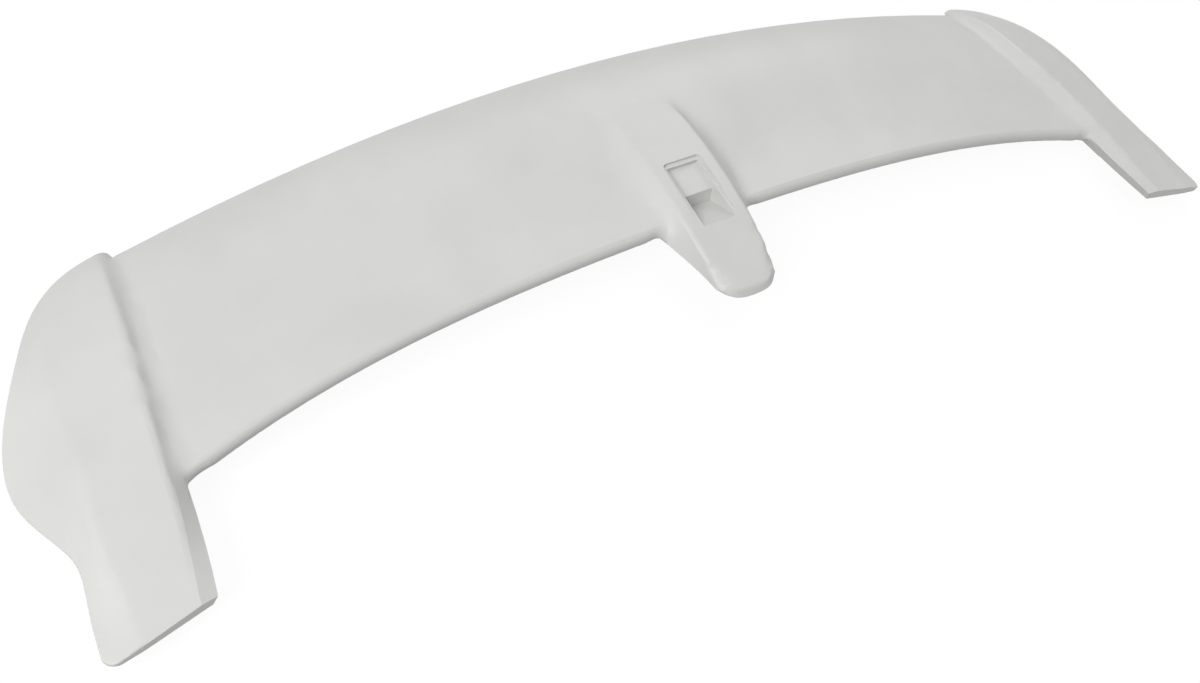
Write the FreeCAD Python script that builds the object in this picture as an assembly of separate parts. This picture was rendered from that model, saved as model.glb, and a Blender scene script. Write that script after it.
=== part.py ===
import FreeCAD, Part
import math
import os
from FreeCAD import Vector

# Liftgate spoiler: a crowned wing on two end legs and a centre leg, one moulding, lying on its hips.
# Millimetres. X runs across the car, the legs point to -Y and +Z is up.

# Wing in plan
wing_root_x = 512.0            # half span of the wing, buried in the end caps
trailing_edge_mid_y = 181.5
trailing_edge_sweep = 43.8     # how far the trailing edge comes forward at the root
front_edge_mid_y = -23.5
front_edge_bow = 23.0          # slow forward sweep of the front edge at the root
front_edge_hook = 31.0         # quick forward sweep close to the end legs

# Wing heights at the middle and how far each line drops at the root
trailing_edge_z = 34.0
trailing_edge_drop = 37.9
shoulder_back = 50.0           # distance of the rear shoulder ahead of the trailing edge
shoulder_z = 50.0
shoulder_drop = 38.3
mid_chord_z = 43.5
mid_chord_drop = 27.0
front_edge_z = 20.0
front_edge_drop = 19.8
nose_thickness = 15.5
nose_depth = 7.0               # how far the rounded nose stands ahead of its two edges
nose_tip_share = 0.42          # height of the nose's foremost line, as a share of its thickness
nose_low_share = 0.8           # how far the nose's lower edge stands back, as a share of its depth
trailing_edge_thickness = 3.5
wing_stations = 9

# Centre ridge and leg
ridge_top_half_width = 34.0
ridge_corner_radius = 5.0
ridge_rear_y = 137.5
ridge_rear_z = 45.0
ridge_mid_z = 52.0
recess_rear_y = 32.5
recess_length = 71.0
ridge_top_z = 53.0             # over the rear end of the recess
ridge_front_z = 45.0           # over the front end of the recess
ridge_wall_lean = 0.97         # sideways run of the ridge wall per millimetre of height
centre_leg_lean = 0.57
centre_toe_y = -110.5
centre_toe_z = 29.0
centre_toe_half_width = 27.0
centre_toe_corner = 11.0
centre_toe_bow = 3.0           # how far the middle of the toe stands ahead of its corners
centre_sole_z = 24.0
ridge_bed_z = 42.0             # height of the ridge's hidden underside at its rear end
leg_overrun = 10.0             # how far the lofted leg runs below its sole before it is trimmed
leg_trim_half_width = 150.0    # half width of the blocks that trim the lofted leg

# Stepped washer-nozzle recess in the ridge
rim_half_width = 22.0
rim_depth = 2.5
rim_corner = 5.0
window_half_width = 18.0
window_margin = 4.0
plate_length = 30.0
plate_depth = 6.5
pocket_depth = 20.0
pocket_wall_run = 4.0

# End caps: stations from the rear to the toe as y, crest (x, z), foot of the inner wall (x, z),
# soft outer crease (x, z), and x and z of the skirt's lower edge; heights are above the soles of the feet
cap_stations = [
    (160.0, (491.5, -3.0), (482.0, -12.0), (530.0, -10.0), (560.0, -14.0)),
    (103.5, (500.0, 21.4), (490.0, 11.0), (548.0, 9.0), (569.0, 0.0)),
    (36.5, (508.0, 27.5), (498.0, 17.0), (574.0, 12.0), (598.0, -5.0)),
    (-27.0, (516.0, 27.0), (505.0, 16.0), (576.5, 15.2), (620.0, -17.0)),
    (-60.0, (519.5, 25.0), (508.0, 13.8), (578.5, 16.0), (608.0, -9.0)),
    (-96.0, (524.0, 21.5), (511.5, 12.0), (582.0, 14.8), (598.0, 0.0)),
    (-195.0, (540.0, 9.0), (528.0, 4.0), (592.5, 9.0), (604.5, 0.0)),
]
rest_lift = 17.0               # height of the soles above the ground when the hips rest on it
cap_edge_height = 3.0          # thickness of the skirt at its thin outer edge
cap_crest_radius = 8.0
skirt_skin = 5.0               # thickness of the skirt where it turns out into its lip
crease_softness = 14.0         # how far the soft crease reaches back from its corner
skirt_hollow_run = 0.55        # where the skirt turns out into its lip, as a share of its run
skirt_hollow_rise = 0.2        # height left there, as a share of the skirt's drop
cap_tuck = 0.4                 # inward lean of the side below the widest point, per millimetre of height
cap_overrun = 16.0             # how far the lofted cap runs past its outline before it is trimmed
cap_floor_z = -48.0            # underside of the lofted cap before it is trimmed
underside_floor_z = -96.0      # lowest reach of the cutter below the cap
cap_core_x = 400.0             # inner end of the trimmed underside, where the wing is clear of it
sole_relief = 0.8              # how far the cap's underside stands below the faced soles of the feet
sole_rear_y = -98.0            # rear end of the faced sole

# End cap outline in plan, from the rear point round the hip to the toe
cap_rear = (493.0, 150.0)
cap_shoulder = (553.0, 120.0)
cap_flank = (584.0, 72.0)
cap_hip = (620.0, -26.0)
cap_waist = (598.0, -96.0)
cap_toe_outer = (603.5, -183.9)
cap_toe_inner = (526.0, -167.5)
cap_toe_corner = 7.0
cap_inner_clearance = 6.0      # distance of the outline's inner side from the cap

# Threaded inserts in the soles
insert_radius = 4.5
insert_bore_radius = 2.5
insert_length = 8.0
end_insert_x = 562.0
end_insert_first_y = -110.0
end_insert_pitch = 44.0
centre_insert_y = -62.0
centre_insert_spacing = 30.0

match_tolerance = 0.01         # for picking edges by their place or direction


def at(x, y, z):
    return Vector(x, y, z)


def spline(points):
    curve = Part.BSplineCurve()
    curve.interpolate(points)
    return curve.toShape()


def soft_curve(poles):
    """Smooth curve that stays inside its control polygon and ends on its first and last pole."""
    curve = Part.BSplineCurve()
    curve.buildFromPoles(poles, False, 2)
    return curve.toShape()


def rounded_corner(before, corner, after, radius):
    """Start, middle and end of the arc that rounds a corner between two straight runs."""
    towards_before = (before - corner).normalize()
    towards_after = (after - corner).normalize()
    half_angle = towards_before.getAngle(towards_after) / 2
    setback = radius / math.tan(half_angle)
    bisector = (towards_before + towards_after).normalize()
    centre = corner + bisector * (radius / math.sin(half_angle))
    middle = centre - bisector * radius
    return corner + towards_before * setback, middle, corner + towards_after * setback


def wing_section(x):
    """Closed profile of the wing at one place across the car."""
    share = (x / wing_root_x) ** 2
    rear_y = trailing_edge_mid_y - trailing_edge_sweep * share
    rear_z = trailing_edge_z - trailing_edge_drop * share
    front_y = front_edge_mid_y - front_edge_bow * share - front_edge_hook * share ** 2
    front_z = front_edge_z - front_edge_drop * share
    shoulder = at(x, rear_y - shoulder_back, shoulder_z - shoulder_drop * share)
    mid_chord = at(x, (rear_y + front_y) / 2, mid_chord_z - mid_chord_drop * share)
    nose_top = at(x, front_y + nose_depth, front_z + nose_thickness)
    nose_tip = at(x, front_y, front_z + nose_thickness * nose_tip_share)
    nose_low = at(x, front_y + nose_depth * nose_low_share, front_z)
    rim_top = at(x, rear_y, rear_z + trailing_edge_thickness)
    rim_low = at(x, rear_y, rear_z)
    return Part.Wire([
        spline([rim_top, shoulder, mid_chord, nose_top]),
        Part.Arc(nose_top, nose_tip, nose_low).toShape(),
        Part.LineSegment(nose_low, rim_low).toShape(),
        Part.LineSegment(rim_low, rim_top).toShape(),
    ])


def make_wing():
    step = 2 * wing_root_x / (wing_stations - 1)
    sections = [wing_section(-wing_root_x + step * i) for i in range(wing_stations)]
    return Part.makeLoft(sections, True, False)


def skirt_hollow(crease, edge):
    """Point where the skirt, on its way down from the crease, turns out into its lip."""
    edge_top = edge[1] + cap_edge_height
    x = crease[0] + skirt_hollow_run * (edge[0] - crease[0])
    z = edge_top + skirt_hollow_rise * (crease[1] - edge_top)
    return x, z


def cap_section(y, crest, side, crease, edge):
    """Closed profile of the right end cap at one place along the leg."""
    edge_top = edge[1] + cap_edge_height
    hollow_x, hollow_z = skirt_hollow(crease, edge)
    lip_slope = (edge_top - hollow_z) / (edge[0] - hollow_x)
    side_point = at(side[0], y, side[1])
    crest_point = at(crest[0], y, crest[1])
    crease_point = at(crease[0], y, crease[1])
    crease_start = crease_point + (crest_point - crease_point).normalize() * crease_softness
    hollow = at(hollow_x, y, hollow_z)
    skirt_end = at(edge[0] + cap_overrun, y, edge_top + lip_slope * cap_overrun)
    inner_low = at(side[0] + cap_tuck * (side[1] - cap_floor_z), y, cap_floor_z)
    outer_low = at(skirt_end.x, y, cap_floor_z)
    start, middle, end = rounded_corner(side_point, crest_point, crease_point, cap_crest_radius)
    return Part.Wire([
        Part.LineSegment(inner_low, side_point).toShape(),
        Part.LineSegment(side_point, start).toShape(),
        Part.Arc(start, middle, end).toShape(),
        soft_curve([end, crease_start, crease_point, hollow, skirt_end]),
        Part.LineSegment(skirt_end, outer_low).toShape(),
        Part.LineSegment(outer_low, inner_low).toShape(),
    ])


def underside_section(y, crease, edge):
    """Profile of the space under the right end cap: flat under the foot, falling with the skirt."""
    hollow_x, hollow_z = skirt_hollow(crease, edge)
    knee_z = min(-sole_relief, hollow_z - skirt_skin)
    lip_slope = (edge[1] - knee_z) / (edge[0] - hollow_x)
    outer_x = edge[0] + cap_overrun
    points = [
        at(cap_core_x, y, underside_floor_z),
        at(cap_core_x, y, -sole_relief),
        at(crease[0], y, -sole_relief),
        at(hollow_x, y, knee_z),
        at(outer_x, y, knee_z + lip_slope * (outer_x - hollow_x)),
        at(outer_x, y, underside_floor_z),
    ]
    return Part.makePolygon(points + points[:1])


def cap_outline_prism(height):
    """Upright prism of the end cap's plan outline; its inner side stays clear of the cap."""
    flank_points = [cap_rear, cap_shoulder, cap_flank, cap_hip, cap_waist, cap_toe_outer]
    flank = [at(x, y, -height) for x, y in flank_points]
    inner_x = min(side[0] for y, crest, side, crease, edge in cap_stations) - cap_inner_clearance
    toe_slope = (cap_toe_inner[1] - cap_toe_outer[1]) / (cap_toe_inner[0] - cap_toe_outer[0])
    toe_end_y = cap_toe_inner[1] + toe_slope * (inner_x - cap_toe_inner[0])
    toe_end = at(inner_x, toe_end_y, -height)
    rear_end = at(inner_x, cap_rear[1], -height)
    outline = Part.Wire([
        spline(flank),
        Part.LineSegment(flank[-1], toe_end).toShape(),
        Part.LineSegment(toe_end, rear_end).toShape(),
        Part.LineSegment(rear_end, flank[0]).toShape(),
    ])
    prism = Part.Face(outline).extrude(at(0, 0, 2 * height))
    toe_edges = [e for e in prism.Edges if e.CenterOfMass.sub(at(*cap_toe_outer, 0)).Length < match_tolerance]
    return prism.makeFillet(cap_toe_corner, toe_edges)


def make_end_cap():
    lofted = Part.makeLoft([cap_section(*station) for station in cap_stations], True, False)
    return lofted.common(cap_outline_prism(2 * ridge_top_z))


def make_underside():
    """Everything below the right end cap, to be cut away."""
    sections = [underside_section(y, crease, edge) for y, crest, side, crease, edge in cap_stations]
    return Part.makeLoft(sections, True, False)


def make_sole_facing():
    """Block below the right foot that faces its sole flat."""
    length = sole_rear_y - cap_toe_outer[1] + cap_overrun
    corner = at(cap_core_x, sole_rear_y - length, -length)
    return Part.makeBox(cap_hip[0] - cap_core_x, length, length, corner)


def leg_section(y, top_z, top_half_width, lean):
    """Closed trapezium profile of the centre ridge, with rounded top corners."""
    low_z = centre_sole_z - leg_overrun
    low_half_width = top_half_width + lean * (top_z - low_z)
    left_low = at(-low_half_width, y, low_z)
    left_top = at(-top_half_width, y, top_z)
    right_top = at(top_half_width, y, top_z)
    right_low = at(low_half_width, y, low_z)
    left = rounded_corner(left_low, left_top, right_top, ridge_corner_radius)
    right = rounded_corner(left_top, right_top, right_low, ridge_corner_radius)
    return Part.Wire([
        Part.LineSegment(left_low, left[0]).toShape(),
        Part.Arc(*left).toShape(),
        Part.LineSegment(left[2], right[0]).toShape(),
        Part.Arc(*right).toShape(),
        Part.LineSegment(right[2], right_low).toShape(),
        Part.LineSegment(right_low, left_low).toShape(),
    ])


def side_prism(points, half_width):
    """Prism across the car from a closed (y, z) outline."""
    outline = [at(-half_width, y, z) for y, z in points]
    face = Part.Face(Part.makePolygon(outline + outline[:1]))
    return face.extrude(at(2 * half_width, 0, 0))


def toe_prism(height):
    """Upright prism that gives the centre toe its bowed front and round corners."""
    reach = leg_trim_half_width
    sole_half_width = centre_toe_half_width + centre_leg_lean * (centre_toe_z - centre_sole_z)
    corner_y = centre_toe_y + centre_toe_bow
    toe = Part.Arc(at(-sole_half_width, corner_y, 0), at(0, centre_toe_y, 0), at(sole_half_width, corner_y, 0))
    left_rear = at(-reach, ridge_rear_y, 0)
    right_rear = at(reach, ridge_rear_y, 0)
    outline = Part.Wire([
        toe.toShape(),
        Part.LineSegment(toe.EndPoint, at(reach, recess_rear_y, 0)).toShape(),
        Part.LineSegment(at(reach, recess_rear_y, 0), right_rear).toShape(),
        Part.LineSegment(right_rear, left_rear).toShape(),
        Part.LineSegment(left_rear, at(-reach, recess_rear_y, 0)).toShape(),
        Part.LineSegment(at(-reach, recess_rear_y, 0), toe.StartPoint).toShape(),
    ])
    prism = Part.Face(outline).extrude(at(0, 0, height))
    corners = [at(side * sole_half_width, corner_y, height / 2) for side in (-1, 1)]
    edges = [e for e in prism.Edges for c in corners if e.CenterOfMass.sub(c).Length < match_tolerance]
    return prism.makeFillet(centre_toe_corner, edges)


def make_centre_leg():
    recess_front_y = recess_rear_y - recess_length
    mid_y = (ridge_rear_y + recess_rear_y) / 2
    ceiling = 2 * ridge_top_z
    lofted = Part.makeLoft([
        leg_section(ridge_rear_y, ridge_rear_z, ridge_top_half_width, ridge_wall_lean),
        leg_section(mid_y, ridge_mid_z, ridge_top_half_width, ridge_wall_lean),
        leg_section(recess_rear_y, ridge_top_z, ridge_top_half_width, ridge_wall_lean),
        leg_section(recess_front_y, ridge_front_z, ridge_top_half_width, centre_leg_lean),
        leg_section(centre_toe_y, centre_toe_z, centre_toe_half_width, centre_leg_lean),
    ], True, False)
    sole_end_y = front_edge_mid_y + nose_depth
    above_sole = side_prism([
        (centre_toe_y - leg_overrun, centre_sole_z),
        (sole_end_y, centre_sole_z),
        (ridge_rear_y + leg_overrun, ridge_bed_z),
        (ridge_rear_y + leg_overrun, ceiling),
        (centre_toe_y - leg_overrun, ceiling),
    ], leg_trim_half_width)
    return lofted.common(above_sole).common(toe_prism(ceiling))


def make_recess():
    """Cutter for the stepped recess: a shallow rim, a plate, a deep pocket and a ramp back to the top."""
    ceiling = 2 * ridge_top_z
    fall = (ridge_top_z - ridge_front_z) / recess_length
    front_y = recess_rear_y - recess_length
    window_y = recess_rear_y - window_margin
    plate_end_y = window_y - plate_length
    pocket_y = plate_end_y - pocket_wall_run

    def below_top(y, depth):
        return (y, ridge_top_z - fall * (recess_rear_y - y) - depth)

    rim = side_prism([
        below_top(recess_rear_y, rim_depth),
        below_top(front_y, 0),
        (front_y, ceiling),
        (recess_rear_y, ceiling),
    ], rim_half_width)
    up = at(0, 0, 1)
    upright = [e for e in rim.Edges if e.tangentAt(e.FirstParameter).cross(up).Length < match_tolerance]
    rim = rim.makeFillet(rim_corner, upright)
    window = side_prism([
        below_top(window_y, plate_depth),
        below_top(plate_end_y, plate_depth),
        below_top(pocket_y, pocket_depth),
        below_top(front_y, 0),
        (front_y, ceiling),
        (window_y, ceiling),
    ], window_half_width)
    return rim.fuse(window)


def insert_places():
    """Sole points of the threaded inserts, two in each foot."""
    places = []
    for side in (-1, 1):
        for step in range(2):
            places.append(at(side * end_insert_x, end_insert_first_y - step * end_insert_pitch, 0))
        places.append(at(side * centre_insert_spacing / 2, centre_insert_y, centre_sole_z))
    return places


def make_inserts():
    tubes = []
    for place in insert_places():
        outside = Part.makeCylinder(insert_radius, insert_length, place)
        tubes.append(outside.cut(Part.makeCylinder(insert_bore_radius, insert_length, place)))
    return tubes


def mirrored(shape):
    return shape.mirror(at(0, 0, 0), at(1, 0, 0))


def make_body():
    cap = make_end_cap()
    underside = make_underside().fuse(make_sole_facing())
    body = make_wing().fuse([cap, mirrored(cap), make_centre_leg()])
    body = body.cut([underside, mirrored(underside), make_recess()])
    pockets = [Part.makeCylinder(insert_radius, insert_length, place) for place in insert_places()]
    return body.cut(pockets)


def main():
    os.makedirs("parts", exist_ok=True)
    body = make_body()
    inserts = Part.makeCompound(make_inserts())
    for name, shape in (("spoiler_body", body), ("threaded_inserts", inserts)):
        shape.translate(at(0, 0, rest_lift))
        print(name, shape.isValid(), len(shape.Solids), round(shape.Volume), len(shape.Faces))
        shape.exportStep("parts/" + name + ".step")


main()
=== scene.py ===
import math

import bmesh
import bpy
from mathutils import Matrix, Vector
from mathutils.kdtree import KDTree


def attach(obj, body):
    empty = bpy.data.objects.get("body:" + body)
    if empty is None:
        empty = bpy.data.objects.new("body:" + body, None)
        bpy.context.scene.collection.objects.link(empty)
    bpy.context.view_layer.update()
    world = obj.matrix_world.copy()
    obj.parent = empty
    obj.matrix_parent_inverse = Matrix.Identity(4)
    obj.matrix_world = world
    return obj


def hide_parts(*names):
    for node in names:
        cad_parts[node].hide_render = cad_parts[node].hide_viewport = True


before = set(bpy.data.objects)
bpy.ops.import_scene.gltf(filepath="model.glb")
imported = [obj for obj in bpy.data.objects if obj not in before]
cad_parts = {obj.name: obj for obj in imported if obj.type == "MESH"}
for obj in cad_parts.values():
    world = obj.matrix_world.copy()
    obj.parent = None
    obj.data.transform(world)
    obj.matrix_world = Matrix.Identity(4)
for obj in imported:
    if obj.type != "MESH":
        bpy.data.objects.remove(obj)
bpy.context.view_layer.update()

# Metres. X runs across the car, the legs point to -Y, +Z is up.

# Camera, at the photograph's viewing angle
CAMERA_PLACE = Vector((-0.6225, -0.4832, 0.8603))
CAMERA_RIGHT = Vector((0.8302, -0.5094, 0.2267))
CAMERA_UP = Vector((0.3249, 0.7728, 0.5457))
CAMERA_LENS = 36.0
CAMERA_SENSOR = 36.0

# Studio
WHITE = (1.0, 1.0, 1.0, 1.0)
FLOOR_COLOUR = (0.45, 0.45, 0.45, 1.0)
FLOOR_GLOW = 1.12
FLOOR_SIZE = 10.0
FLOOR_GAP = 0.0005
FLOOR_SHADOW = 0.16
WORLD_STRENGTH = 0.36
KEY_PLACE = (-2.85, -0.7, 2.25)
KEY_SIZE = 2.0
KEY_POWER = 80.0
TOP_PLACE = (0.3, 0.2, 3.6)
TOP_SIZE = 2.4
TOP_POWER = 15.0
FILL_PLACE = (2.2, 1.8, 2.4)
FILL_SIZE = 2.0
FILL_POWER = 25.0

# Primer: colour, its faint mottling and the fine peel of a sprayed coat
PRIMER_PALE = (0.665, 0.663, 0.645, 1.0)
PRIMER_DARK = (0.625, 0.625, 0.608, 1.0)
MOTTLE_SCALE = 14.0
MOTTLE_DETAIL = 4.0
PRIMER_ROUGHNESS = (0.40, 0.50)
PEEL_SCALE = 420.0
PEEL_DETAIL = 2.0
PEEL_STRENGTH = 0.05
PEEL_HEIGHT = 0.0004

# Brass inserts
BRASS_PALE = (0.78, 0.62, 0.31, 1.0)
BRASS_DARK = (0.60, 0.45, 0.20, 1.0)
BRASS_ROUGHNESS = 0.32
TARNISH_SCALE = 420.0
TARNISH_DETAIL = 3.0
THREAD_SCALE = 500.0
THREAD_STRENGTH = 0.5
THREAD_HEIGHT = 0.0004

# Part of a noise's range over which a colour ramp runs
RAMP_START = 0.3
RAMP_END = 0.7

# Where the legs and the recess lie
CENTRE_ZONE = 0.080            # half width of the zone round the centre leg
END_ZONE = 0.478               # distance from the middle at which the end legs begin
SOLE_TOP = 0.019               # lines below this height belong to the soles
SOLE_HEIGHT = 0.017
RECESS_HALF_WIDTH = 0.026
RECESS_FRONT = -0.045
RECESS_REAR = 0.040

# Soft lines: the roots where the wing runs into the legs, and the rim of the centre toe
ROOT_REACH = 0.014             # how far from a soft line the surface is rounded
ROOT_ANGLE = math.radians(14)  # a hollow line sharper than this is a root
ROOT_PASSES = 36
ROOT_PULL = 0.6                # share of the way to its neighbours that a point moves in a pass
DOWNWARD = -0.3                # a face whose normal falls more than this is on the underside
LEG_FRONT = -0.030             # where the reach begins to fade along the centre leg
LEG_BLEND = 0.015
TOE_REACH = 0.006              # reach that is left on the centre toe
TOE_REAR = -0.085
TOE_SOLE = 0.0425

# Centre toe, drawn out to a tongue
TOE_START = -0.068
TOE_END = -0.1105
TOE_HALF_WIDTH = 0.030
TOE_WIDEN = 0.0025
TOE_ROUND = 0.013              # how far the corners are drawn back

# Skirts of the end toes, drawn out to the outline in the photograph
SKIRT_START = 0.576
SKIRT_END = 0.592
SKIRT_MIDDLE = -0.148
SKIRT_RUN = 0.060              # reach of the flare before and behind its middle
SKIRT_FLARE = 0.011
SKIRT_THINNING = 0.6           # share of its height above the sole that the lip loses

# Mesh
MESH_STEP = 0.0024
SPLIT_LENGTH = 1.5 * MESH_STEP
REFINE_ROUNDS = 5
MERGE_DISTANCE = 1e-5
SLIVER = 0.0004                # edges and triangles thinner than this are taken out
SPECK = 4e-7                   # faces smaller than this take their neighbours' direction
CREASE_ANGLE = math.radians(40)
FLAT_ANGLE = math.radians(6)
SHARP_ANGLE = math.radians(32)
TRUE_NORMAL = 0.9              # least agreement between a shading normal and its face


def add_object(name, data):
    thing = bpy.data.objects.new(name, data)
    bpy.context.scene.collection.objects.link(thing)
    return thing


def add_camera():
    data = bpy.data.cameras.new("camera")
    data.lens = CAMERA_LENS
    data.sensor_width = CAMERA_SENSOR
    camera = add_object("camera", data)
    right = CAMERA_RIGHT.normalized()
    back = right.cross(CAMERA_UP).normalized()
    up = back.cross(right)
    turn = Matrix((right, up, back)).transposed().to_4x4()
    camera.matrix_world = Matrix.Translation(CAMERA_PLACE) @ turn
    bpy.context.scene.camera = camera


def add_area_light(name, place, size, power):
    """Round soft box that looks at the middle of the object."""
    data = bpy.data.lights.new(name, "AREA")
    data.shape = "DISK"
    data.size = size
    data.energy = power
    light = add_object(name, data)
    light.location = place
    light.rotation_euler = (-Vector(place)).to_track_quat("-Z", "Y").to_euler()


def seen_directly(nodes, links):
    """1 for camera, mirror and glass rays, 0 for the light that reaches the object."""
    path = nodes.new("ShaderNodeLightPath")
    glossy = nodes.new("ShaderNodeMath")
    glossy.operation = "MAXIMUM"
    links.new(path.outputs["Is Camera Ray"], glossy.inputs[0])
    links.new(path.outputs["Is Glossy Ray"], glossy.inputs[1])
    either = nodes.new("ShaderNodeMath")
    either.operation = "MAXIMUM"
    links.new(glossy.outputs[0], either.inputs[0])
    links.new(path.outputs["Is Transmission Ray"], either.inputs[1])
    return either.outputs[0]


def add_world():
    world = bpy.data.worlds.new("studio")
    bpy.context.scene.world = world
    world.use_nodes = True
    nodes = world.node_tree.nodes
    links = world.node_tree.links
    nodes.clear()
    soft = nodes.new("ShaderNodeBackground")
    soft.inputs["Color"].default_value = WHITE
    soft.inputs["Strength"].default_value = WORLD_STRENGTH
    white = nodes.new("ShaderNodeBackground")
    white.inputs["Color"].default_value = WHITE
    mix = nodes.new("ShaderNodeMixShader")
    links.new(seen_directly(nodes, links), mix.inputs["Fac"])
    links.new(soft.outputs[0], mix.inputs[1])
    links.new(white.outputs[0], mix.inputs[2])
    out = nodes.new("ShaderNodeOutputWorld")
    links.new(mix.outputs[0], out.inputs["Surface"])


def floor_material():
    """Pale floor that the camera sees as white, with a faint shadow left on it."""
    material = bpy.data.materials.new("floor")
    material.use_nodes = True
    nodes = material.node_tree.nodes
    links = material.node_tree.links
    nodes.clear()
    matt = nodes.new("ShaderNodeBsdfDiffuse")
    matt.inputs["Color"].default_value = FLOOR_COLOUR
    glow = nodes.new("ShaderNodeEmission")
    glow.inputs["Color"].default_value = WHITE
    glow.inputs["Strength"].default_value = FLOOR_GLOW
    share = nodes.new("ShaderNodeMath")
    share.operation = "MULTIPLY"
    share.inputs[1].default_value = 1 - FLOOR_SHADOW
    links.new(seen_directly(nodes, links), share.inputs[0])
    mix = nodes.new("ShaderNodeMixShader")
    links.new(share.outputs[0], mix.inputs["Fac"])
    links.new(matt.outputs[0], mix.inputs[1])
    links.new(glow.outputs[0], mix.inputs[2])
    out = nodes.new("ShaderNodeOutputMaterial")
    links.new(mix.outputs[0], out.inputs["Surface"])
    return material


def add_floor():
    half = FLOOR_SIZE / 2
    mesh = bpy.data.meshes.new("floor")
    corners = [(-half, -half, 0), (half, -half, 0), (half, half, 0), (-half, half, 0)]
    mesh.from_pydata(corners, [], [(0, 1, 2, 3)])
    mesh.materials.append(floor_material())
    floor = add_object("floor", mesh)
    floor.location.z = -FLOOR_GAP


def noise(nodes, links, scale, detail):
    """Noise fixed to the object, 0 to 1."""
    place = nodes.new("ShaderNodeTexCoord")
    texture = nodes.new("ShaderNodeTexNoise")
    texture.inputs["Scale"].default_value = scale
    texture.inputs["Detail"].default_value = detail
    links.new(place.outputs["Object"], texture.inputs["Vector"])
    return texture.outputs["Fac"]


def ramp(nodes, links, source, low, high):
    """Colour between two ends, spread over the middle of a noise."""
    band = nodes.new("ShaderNodeValToRGB")
    band.color_ramp.elements[0].position = RAMP_START
    band.color_ramp.elements[0].color = low
    band.color_ramp.elements[1].position = RAMP_END
    band.color_ramp.elements[1].color = high
    links.new(source, band.inputs["Fac"])
    return band.outputs["Color"]


def primer_material():
    material = bpy.data.materials.new("primer")
    material.use_nodes = True
    nodes = material.node_tree.nodes
    links = material.node_tree.links
    shader = nodes["Principled BSDF"]
    mottle = noise(nodes, links, MOTTLE_SCALE, MOTTLE_DETAIL)
    links.new(ramp(nodes, links, mottle, PRIMER_DARK, PRIMER_PALE), shader.inputs["Base Color"])
    sheen = nodes.new("ShaderNodeMapRange")
    sheen.inputs["To Min"].default_value = PRIMER_ROUGHNESS[0]
    sheen.inputs["To Max"].default_value = PRIMER_ROUGHNESS[1]
    links.new(mottle, sheen.inputs["Value"])
    links.new(sheen.outputs["Result"], shader.inputs["Roughness"])
    peel = nodes.new("ShaderNodeBump")
    peel.inputs["Strength"].default_value = PEEL_STRENGTH
    peel.inputs["Distance"].default_value = PEEL_HEIGHT
    links.new(noise(nodes, links, PEEL_SCALE, PEEL_DETAIL), peel.inputs["Height"])
    links.new(peel.outputs["Normal"], shader.inputs["Normal"])
    return material


def brass_material():
    material = bpy.data.materials.new("insert_brass")
    material.use_nodes = True
    nodes = material.node_tree.nodes
    links = material.node_tree.links
    shader = nodes["Principled BSDF"]
    shader.inputs["Metallic"].default_value = 1.0
    shader.inputs["Roughness"].default_value = BRASS_ROUGHNESS
    tarnish = noise(nodes, links, TARNISH_SCALE, TARNISH_DETAIL)
    links.new(ramp(nodes, links, tarnish, BRASS_DARK, BRASS_PALE), shader.inputs["Base Color"])
    place = nodes.new("ShaderNodeTexCoord")
    thread = nodes.new("ShaderNodeTexWave")
    thread.bands_direction = "Z"
    thread.inputs["Scale"].default_value = THREAD_SCALE
    links.new(place.outputs["Object"], thread.inputs["Vector"])
    ridges = nodes.new("ShaderNodeBump")
    ridges.inputs["Strength"].default_value = THREAD_STRENGTH
    ridges.inputs["Distance"].default_value = THREAD_HEIGHT
    links.new(thread.outputs["Fac"], ridges.inputs["Height"])
    links.new(ridges.outputs["Normal"], shader.inputs["Normal"])
    return material


def middle(edge):
    return (edge.verts[0].co + edge.verts[1].co) / 2


def in_recess(place):
    return abs(place.x) < RECESS_HALF_WIDTH and RECESS_FRONT < place.y < RECESS_REAR


def in_centre_toe(place):
    return abs(place.x) < CENTRE_ZONE and place.y < TOE_START


def in_end_toe(place):
    return abs(place.x) > SKIRT_START and abs(place.y - SKIRT_MIDDLE) < SKIRT_RUN


def is_root(edge):
    """Concave line on the top where the wing runs into a leg."""
    place = middle(edge)
    at_leg = abs(place.x) < CENTRE_ZONE or abs(place.x) > END_ZONE
    faces_down = min(face.normal.z for face in edge.link_faces) < DOWNWARD
    hollow = edge.calc_face_angle_signed(0) < -ROOT_ANGLE
    return hollow and at_leg and not faces_down and not in_recess(place) and place.z > SOLE_TOP


def is_toe_rim(edge):
    """Edge round the end of the centre leg's toe."""
    place = middle(edge)
    on_toe = abs(place.x) < CENTRE_ZONE and place.y < TOE_REAR and place.z > TOE_SOLE
    return on_toe and edge.calc_face_angle_signed(0) > CREASE_ANGLE


def is_corner(edge):
    """Outer edge that stays crisp."""
    return edge.calc_face_angle_signed(0) > CREASE_ANGLE and not is_toe_rim(edge)


def root_tree(bm):
    """Points along all soft lines, to measure distances from."""
    points = []
    for edge in bm.edges:
        if is_root(edge) or is_toe_rim(edge):
            steps = max(1, round(edge.calc_length() / MESH_STEP))
            points += [edge.verts[0].co.lerp(edge.verts[1].co, i / steps) for i in range(steps + 1)]
    tree = KDTree(len(points))
    for index, point in enumerate(points):
        tree.insert(point, index)
    tree.balance()
    return tree


def is_reshaped(place, tree):
    """Whether a point is close to a soft line or on one of the toes."""
    return tree.find(place)[2] < ROOT_REACH or in_centre_toe(place) or in_end_toe(place)


def keep_triangles(bm):
    bmesh.ops.triangulate(bm, faces=[face for face in bm.faces if len(face.verts) > 3])


def clear_slivers(bm):
    """Takes out triangles too thin to have a true direction."""
    edges = [edge for edge in bm.edges if not in_recess(middle(edge))]
    bmesh.ops.dissolve_degenerate(bm, dist=SLIVER, edges=edges)
    keep_triangles(bm)


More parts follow.
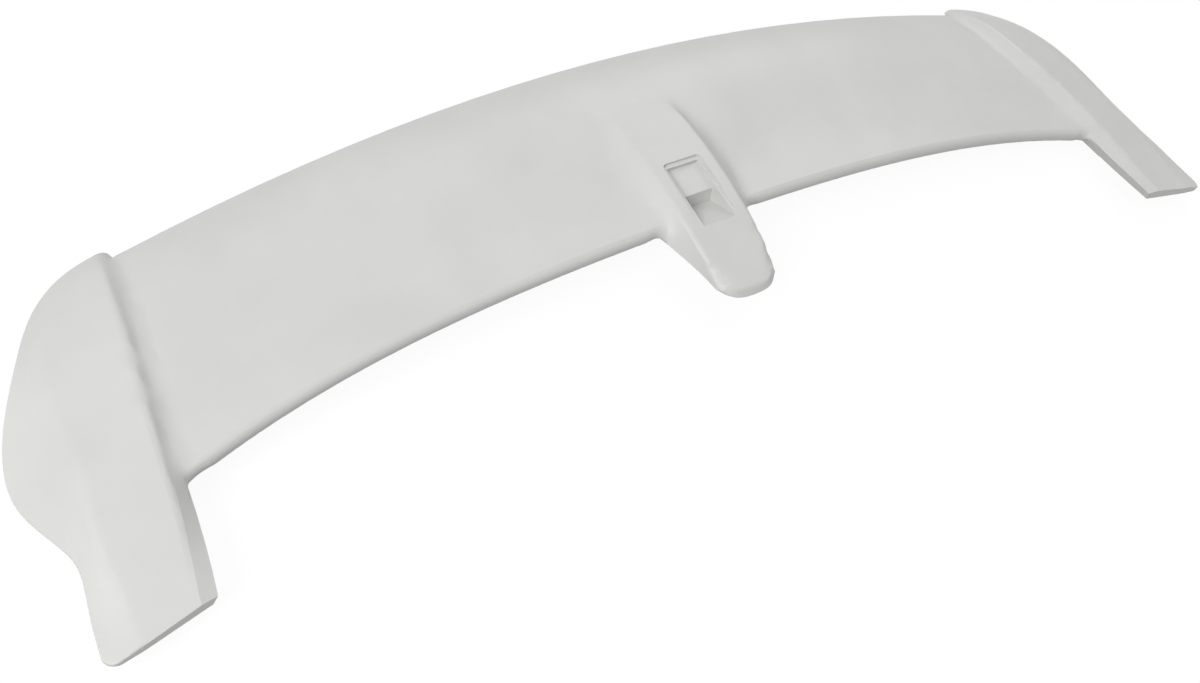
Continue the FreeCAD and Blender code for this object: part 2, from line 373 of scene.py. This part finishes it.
def refine_roots(bm, tree):
    """Splits long edges close to the soft lines and on the toes, so that the surface there can bend."""
    for _ in range(REFINE_ROUNDS):
        long_edges = []
        for edge in bm.edges:
            if edge.calc_length() > SPLIT_LENGTH:
                places = (edge.verts[0].co, middle(edge), edge.verts[1].co)
                if any(is_reshaped(place, tree) for place in places):
                    long_edges.append(edge)
        bmesh.ops.subdivide_edges(bm, edges=long_edges, cuts=1)
        keep_triangles(bm)
    flat_edges = []
    for edge in bm.edges:
        if is_reshaped(middle(edge), tree) and abs(edge.calc_face_angle_signed(0)) < FLAT_ANGLE:
            flat_edges.append(edge)
    flat_faces = {face for edge in flat_edges for face in edge.link_faces}
    bmesh.ops.beautify_fill(bm, faces=list(flat_faces), edges=flat_edges, method="ANGLE")
    clear_slivers(bm)


def ease(share):
    """0 to 1 with a soft start and end."""
    share = min(1.0, max(0.0, share))
    return share * share * (3 - 2 * share)


def shape_centre_toe(bm):
    """Widens the centre toe a little and draws its corners back, so that it ends in a tongue."""
    for vert in bm.verts:
        if in_centre_toe(vert.co):
            along = ease((TOE_START - vert.co.y) / (TOE_START - TOE_END))
            across = min(1.0, abs(vert.co.x) / TOE_HALF_WIDTH)
            vert.co.x += math.copysign(TOE_WIDEN * across ** 2 * along, vert.co.x)
            vert.co.y += TOE_ROUND * across ** 4 * along


def shape_skirts(bm):
    """Draws the end toes' skirts out and down to a thin lip, where the solid is cut off inside them."""
    for vert in bm.verts:
        if in_end_toe(vert.co):
            along = math.cos(math.pi / 2 * (vert.co.y - SKIRT_MIDDLE) / SKIRT_RUN) ** 2
            share = along * ease((abs(vert.co.x) - SKIRT_START) / (SKIRT_END - SKIRT_START))
            vert.co.x += math.copysign(SKIRT_FLARE * share, vert.co.x)
            vert.co.z -= SKIRT_THINNING * share * max(0.0, vert.co.z - SOLE_HEIGHT)


def soft_reach(place):
    """How far the rounding of a soft line reaches; it fades to a narrow rim along the centre leg."""
    if abs(place.x) > CENTRE_ZONE:
        return ROOT_REACH
    share = ease((LEG_FRONT - place.y) / LEG_BLEND)
    return ROOT_REACH + share * (TOE_REACH - ROOT_REACH)


def smooth_roots(bm, tree):
    """Rounds the soft lines out; points on outer corners and in the recess stay where they are."""
    weights = {}
    for vert in bm.verts:
        share = 1 - tree.find(vert.co)[2] / soft_reach(vert.co)
        fixed = in_recess(vert.co) or any(is_corner(edge) for edge in vert.link_edges)
        if share > 0 and not fixed:
            weights[vert] = ROOT_PULL * ease(share)
    for _ in range(ROOT_PASSES):
        targets = {}
        for vert in weights:
            around = [edge.other_vert(vert).co for edge in vert.link_edges]
            targets[vert] = sum(around, Vector()) / len(around)
        for vert, target in targets.items():
            vert.co = vert.co.lerp(target, weights[vert])


def set_normals(mesh, reshaped):
    """Shades reshaped points by the faces round them and the rest as in CAD; crisp edges stay crisp."""
    cad_normals = mesh.attributes["cad_normal"].data
    around = [Vector() for vert in mesh.vertices]
    for polygon in mesh.polygons:
        for index in polygon.vertices:
            around[index] += polygon.normal * polygon.area
    normals = [Vector() for loop in mesh.loops]
    for polygon in mesh.polygons:
        for corner, index in zip(polygon.loop_indices, polygon.vertices):
            normal = around[index].normalized() if reshaped[index] else Vector(cad_normals[corner].vector)
            if polygon.area < SPECK or normal.dot(polygon.normal) > TRUE_NORMAL:
                normals[corner] = normal
    mesh.normals_split_custom_set(normals)


def add_soft_body(cad_body):
    """Copy of the moulding with its roots rounded and its toes drawn out as in the photograph."""
    cad_mesh = cad_body.data
    mesh = cad_mesh.copy()
    mesh.name = "soft_body"
    kept = mesh.attributes.new("cad_normal", "FLOAT_VECTOR", "CORNER")
    for index, corner in enumerate(cad_mesh.corner_normals):
        kept.data[index].vector = corner.vector
    bm = bmesh.new()
    bm.from_mesh(mesh)
    bmesh.ops.remove_doubles(bm, verts=bm.verts, dist=MERGE_DISTANCE)
    clear_slivers(bm)
    tree = root_tree(bm)
    refine_roots(bm, tree)
    shape_centre_toe(bm)
    shape_skirts(bm)
    smooth_roots(bm, tree)
    bm.to_mesh(mesh)
    bm.free()
    mesh.polygons.foreach_set("use_smooth", [True] * len(mesh.polygons))
    mesh.set_sharp_from_angle(angle=SHARP_ANGLE)
    reshaped = [is_reshaped(vert.co, tree) for vert in mesh.vertices]
    set_normals(mesh, reshaped)
    mesh.attributes.remove(mesh.attributes["cad_normal"])
    body = add_object("soft_body", mesh)
    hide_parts("spoiler_body")
    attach(body, "root")
    return body


def give_material(thing, material):
    thing.data.materials.clear()
    thing.data.materials.append(material)


add_camera()
add_world()
add_floor()
add_area_light("key", KEY_PLACE, KEY_SIZE, KEY_POWER)
add_area_light("top", TOP_PLACE, TOP_SIZE, TOP_POWER)
add_area_light("fill", FILL_PLACE, FILL_SIZE, FILL_POWER)
soft_body = add_soft_body(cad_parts["spoiler_body"])
give_material(soft_body, primer_material())
give_material(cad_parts["threaded_inserts"], brass_material())

bpy.context.scene.view_settings.view_transform = "Standard"
